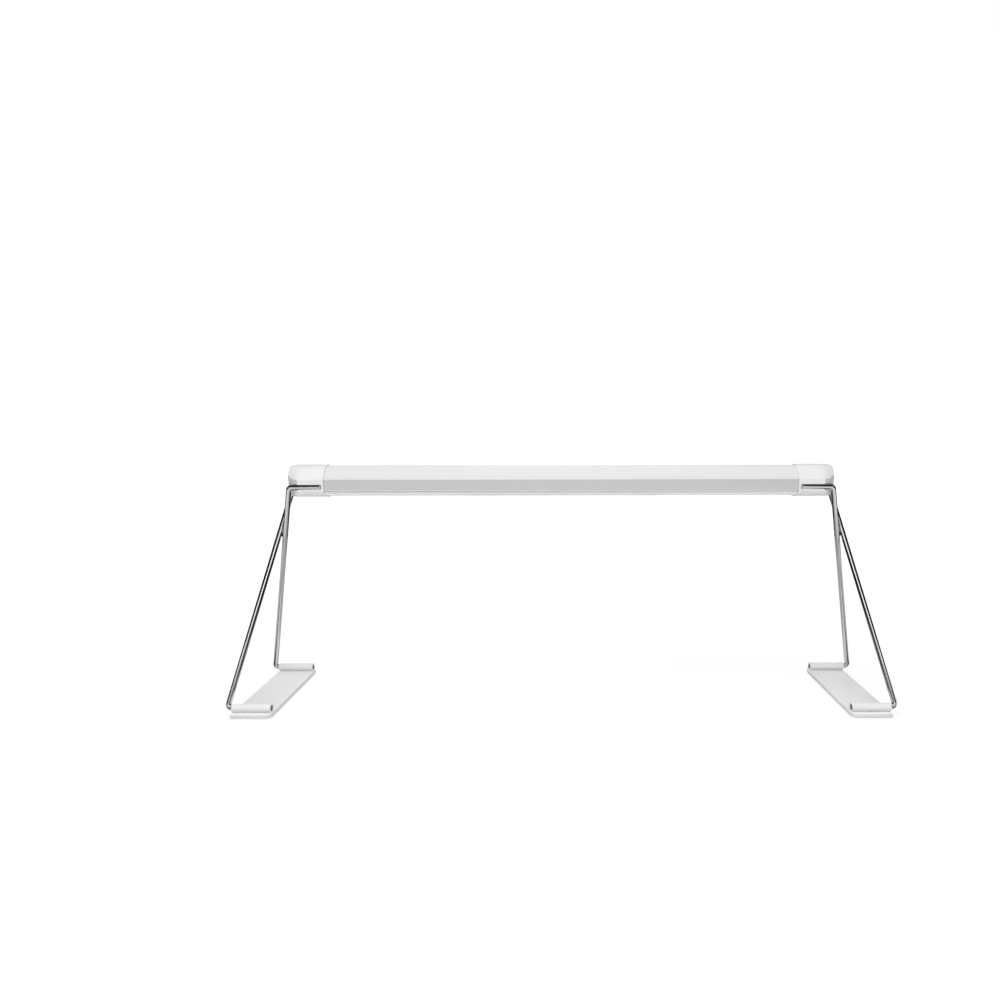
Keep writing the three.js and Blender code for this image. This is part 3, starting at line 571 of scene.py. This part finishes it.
def rounded_copy(node, name, rounding, sharp_angle=32, cuts=(), reshape=None):
    """The node's solid with its triangles joined, its flat areas made whole and its edges rounded.
    It may be cut across at some x and reshaped before its edges are rounded."""
    mesh = frame["nodes"][node].data.copy()
    work = bmesh.new()
    work.from_mesh(mesh)
    bmesh.ops.remove_doubles(work, verts=work.verts, dist=SAME_POINT)
    bmesh.ops.dissolve_limit(work, angle_limit=math.radians(FLAT_ANGLE), verts=work.verts, edges=work.edges)
    for x in cuts:
        bmesh.ops.bisect_plane(work, geom=work.verts[:] + work.edges[:] + work.faces[:],
                               plane_co=(x * MM, 0, 0), plane_no=(1, 0, 0), dist=SAME_POINT)
    work.to_mesh(mesh)
    work.free()
    if reshape:
        reshape(mesh)
    mesh.shade_smooth()
    mesh.set_sharp_from_angle(angle=math.radians(sharp_angle))
    piece = finished(mesh, name, node)
    bevel = piece.modifiers.new("edge_rounding", "BEVEL")
    bevel.width = rounding * MM
    bevel.segments = 2
    bevel.limit_method = "ANGLE"
    bevel.angle_limit = math.radians(sharp_angle)
    bevel.use_clamp_overlap = True


rounded_copy("bar_housing", "bar_extrusion", 0.25)
rounded_copy("diffuser", "bar_lens", 0.15)
for side, sign in SIDES:
    rounded_copy(f"{side}_end_cap", f"{side}_cap_moulding", 0.3, sharp_angle=24, reshape=soft_cap,
                 cuts=[sign * (CAP_END_X - CORNER_LENGTH - back) for back in CROWN_CUTS])
    rounded_copy(f"{side}_pivot_pin", f"{side}_pivot_boss", 0.25)
rounded_copy("left_foot", "left_foot_plate", 0.25)
rounded_copy("right_foot", "right_foot_plate", 0.25)
rounded_copy("supply_socket", "socket_barrel", 0.15)


# Finishes of the nodes that are shown as they are

for node, piece in frame["nodes"].items():
    if not piece.hide_render:
        piece.data.materials.clear()
        piece.data.materials.append(finishes[slot_of[node]])


# Floor, flags, world and lamps, in metres

FLOOR_HALF, FLOOR_HEIGHT = 30, -0.0001


def floor_finish():
    """Pale floor. Light bounces off it as off white paper. The camera sees it nearly white all the way
    out, with the stand's own shadow on it. What mirrors it sees a glow that depends on the place: weaker
    between the feet and below the outer bends of the rods, stronger in front and far out."""
    material = bpy.data.materials.new("studio_floor")
    material.use_nodes = True
    material.node_tree.nodes.clear()
    f = Nodes(material.node_tree)
    place = f.place()
    x, y = f.axes(place, "XY")
    away = f.node("VectorMath", {"operation": "LENGTH"}, [place], output="Value")
    below_bends = abs(x).math("COMPARE", 0.350, 0.014)
    mirrored_level = abs(x).between(0.07, 0.16, 0.14, 0.48) + y.between(-0.2, -0.06, 0.32, 0) \
        + away.between(0.33, 0.55, 0, 0.10) - 0.42 * below_bends
    seen_level = away.between(0.36, 0.8, 0.70, 0.86)
    shaded = f.node("BsdfDiffuse", None, {"Color": (0.34, 0.34, 0.345, 1)})
    seen = f.node("AddShader", None, [shaded, f.node("Emission", None, {"Strength": seen_level})])
    mirrored = f.node("Emission", None, {"Strength": mirrored_level})
    seen_or_mirrored = f.node("MixShader", None, [f.rays("Is Glossy Ray"), seen, mirrored])
    paper = f.node("BsdfDiffuse", None, {"Color": (0.88, 0.88, 0.88, 1)})
    direct = f.rays("Is Camera Ray", "Is Glossy Ray", "Is Transmission Ray")
    f.node("OutputMaterial", None, [f.node("MixShader", None, [direct, paper, seen_or_mirrored])])
    return material


def stage_sheet(name, corners, material):
    """A sheet with four corners that belongs to the studio."""
    mesh = bpy.data.meshes.new(name)
    mesh.from_pydata(corners, [], [(0, 1, 2, 3)])
    mesh.materials.append(material)
    sheet = bpy.data.objects.new(name, mesh)
    bpy.context.collection.objects.link(sheet)
    return sheet


def level_corners(x0, x1, y0, y1, z):
    """Corners of a level sheet at height z."""
    return [(x0, y0, z), (x1, y0, z), (x1, y1, z), (x0, y1, z)]


def upright_corners(x0, y0, x1, y1, z0, z1):
    """Corners of an upright sheet over the line from (x0, y0) to (x1, y1)."""
    return [(x0, y0, z0), (x1, y1, z0), (x1, y1, z1), (x0, y0, z1)]


def flag(name, corners, mirrored_only, level=0.03):
    """A sheet that the camera doesn't see. A dark one gives the bright wire its dark lines and, unless it
    is only mirrored, the white pieces their soft shading at the ends."""
    cloth = Finish(name, Base_Color=grey(level), Roughness=0.9, Specular_IOR_Level=0)
    sheet = stage_sheet(name, corners, cloth.material)
    sheet.visible_camera = False
    sheet.visible_transmission = False
    if mirrored_only:
        sheet.visible_diffuse = False
        sheet.visible_shadow = False


floor_corners = level_corners(-FLOOR_HALF, FLOOR_HALF, -FLOOR_HALF, FLOOR_HALF, FLOOR_HEIGHT)
stage_sheet("floor", floor_corners, floor_finish())
for side, sign in SIDES:
    for kind, x0, y0, x1, y1, z0, z1, mirrored_only in (
            ("flag", 0.8, -0.42, 0.8, 1.3, 0.02, 0.45, False),
            ("low_flag", 0.66, -0.55, 1.2, -0.55, 0.02, 0.31, False),
            ("front_flag", 0.455, -0.56, 0.66, -0.56, 0.265, 0.9, True),
            ("near_flag", 0.2, -0.32, 0.2, -0.025, 0.001, 0.035, True),
            ("foot_flag", 0.276, -0.066, 0.276, -0.035, 0.001, 0.014, True),
            ("inner_flag", 0.1, -0.32, 0.1, 0.3, 0.001, 0.2, True)):
        flag(f"{side}_{kind}", upright_corners(sign * x0, y0, sign * x1, y1, z0, z1), mirrored_only)
for side, sign in SIDES:
    flag(f"{side}_upper_flag", level_corners(sign * 0.45, sign * 3, -2.8, 3, 1.25), True)
flag("grey_card", upright_corners(-2.0, -2.3, 2.0, -2.3, 0, 0.76), True, 0.45)


# The world is white to look at and in mirrors, and lights the object a little less than that
world = bpy.data.worlds.new("studio")
bpy.context.scene.world = world
world.use_nodes = True
sky = Nodes(world.node_tree)
background = sky.tree.nodes["Background"]
background.inputs["Color"].default_value = grey(1)
direct = sky.rays("Is Camera Ray", "Is Glossy Ray", "Is Transmission Ray")
sky.tree.links.new(direct.between(0, 1, 0.66, 1.0).socket, background.inputs["Strength"])


def softbox(name, place, target, size, power, mirrored):
    """A rectangular lamp at a place, turned to its target."""
    light = bpy.data.lights.new(name, "AREA")
    light.shape = "RECTANGLE"
    light.size, light.size_y = size
    light.energy = power
    lamp = bpy.data.objects.new(name, light)
    bpy.context.collection.objects.link(lamp)
    lamp.location = place
    way = np.array(place) - np.array(target)
    lamp.rotation_euler = (math.atan2(math.hypot(way[0], way[1]), way[2]), 0, math.atan2(way[0], -way[1]))
    lamp.visible_glossy = mirrored


softbox("key", (-0.35, -0.8, 2.2), (0, 0, 0.1), (2.8, 1.0), 22.5, False)
softbox("rear_fill", (0.5, 2.0, 1.6), (0, 0, 0.1), (1.6, 1.0), 8, False)
softbox("front", (0, -2.4, 0.62), (0, 0, 0.2), (3.0, 0.74), 6, True)
